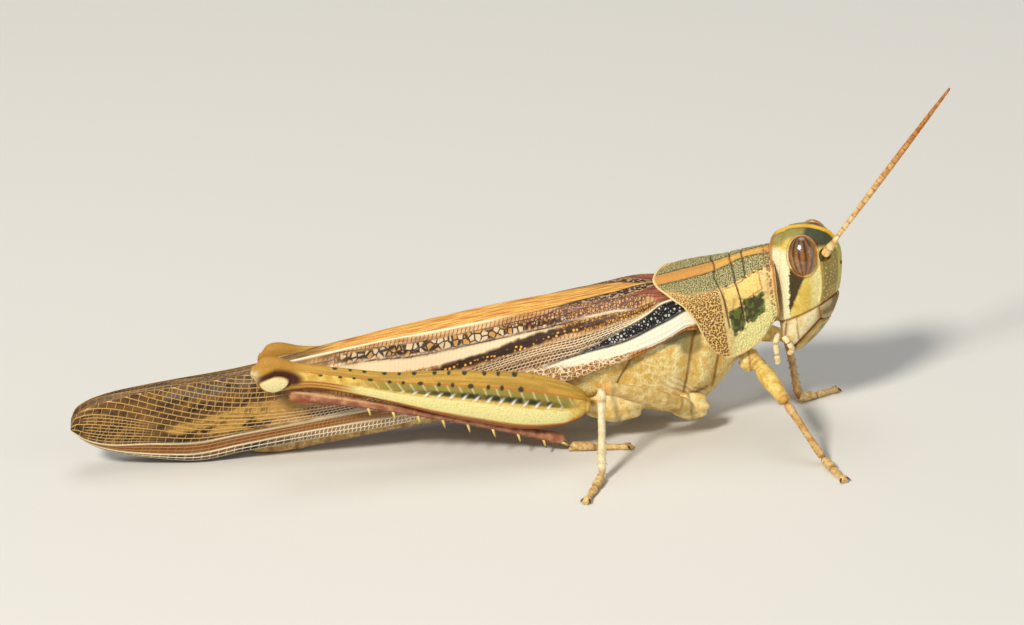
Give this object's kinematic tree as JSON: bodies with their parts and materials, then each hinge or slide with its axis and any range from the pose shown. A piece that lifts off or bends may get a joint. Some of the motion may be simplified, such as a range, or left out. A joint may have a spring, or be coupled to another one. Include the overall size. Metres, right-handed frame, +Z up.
{
  "type": "bombay locust",
  "caption": "Life-size still model of a large spur-throated grasshopper at rest, wings folded and feelers raised, standing on its feet.",
  "frame": {"origin": "on the floor, under the middle of the whole animal's length and width, feelers, wings and feet included", "axes": "+X forwards along the body, towards the head; +Y to the animal's left; +Z up from the floor it stands on"},
  "size_m": [0.0895, 0.0344, 0.0356],
  "materials": {
    "head_capsule": "satin waxy cuticle, cream with olive and brown bands",
    "mouth_plates": "satin cuticle, yellow edged with orange brown",
    "palps": "satin cream cuticle",
    "compound_eye": "glossy lens facets, orange brown with dark upright stripes",
    "antenna": "satin ringed cuticle, orange brown",
    "pronotum_shield": "pitted cuticle, buff and olive with an orange-brown stripe",
    "thorax_plates": "fine-grained buff cuticle",
    "abdomen_rings": "satin yellowish-brown cuticle",
    "tegmen": "leathery netted fore wing, brown with cream and yellow bands",
    "hind_wing": "thin folded membrane, smoky brown",
    "hind_thigh": "satin cuticle with pale chevrons on olive",
    "hind_shin": "satin reddish-brown cuticle, black-tipped spines",
    "walking_leg": "satin buff cuticle",
    "feet": "satin brown cuticle"
  },
  "bodies": {
    "root": {"abdomen_base": "abdomen_rings", "abdomen_middle": "abdomen_rings", "abdomen_rear": "abdomen_rings", "abdomen_tip": "abdomen_rings", "antenna_left": "antenna", "antenna_right": "antenna", "clypeus_labrum": "mouth_plates", "coxa_front_left": "thorax_plates", "coxa_front_right": "thorax_plates", "coxa_hind_left": "thorax_plates", "coxa_hind_right": "thorax_plates", "coxa_mid_left": "thorax_plates", "coxa_mid_right": "thorax_plates", "eye_left": "compound_eye", "eye_right": "compound_eye", "femur_front_left": "walking_leg", "femur_front_right": "walking_leg", "femur_hind_left": "hind_thigh", "femur_hind_right": "hind_thigh", "femur_mid_left": "walking_leg", "femur_mid_right": "walking_leg", "head": "head_capsule", "hindwing_left": "hind_wing", "hindwing_right": "hind_wing", "labium": "mouth_plates", "mandible_left": "mouth_plates", "mandible_right": "mouth_plates", "mesothorax": "thorax_plates", "metathorax": "thorax_plates", "palp_labial_left": "palps", "palp_labial_right": "palps", "palp_maxillary_left": "palps", "palp_maxillary_right": "palps", "pronotum": "pronotum_shield", "prothorax": "thorax_plates", "tarsus_front_left": "feet", "tarsus_front_right": "feet", "tarsus_hind_left": "feet", "tarsus_hind_right": "feet", "tarsus_mid_left": "feet", "tarsus_mid_right": "feet", "tegmen_left": "tegmen", "tegmen_right": "tegmen", "tibia_front_left": "walking_leg", "tibia_front_right": "walking_leg", "tibia_hind_left": "hind_shin", "tibia_hind_right": "hind_shin", "tibia_mid_left": "walking_leg", "tibia_mid_right": "walking_leg"}
  },
  "joints": []
}
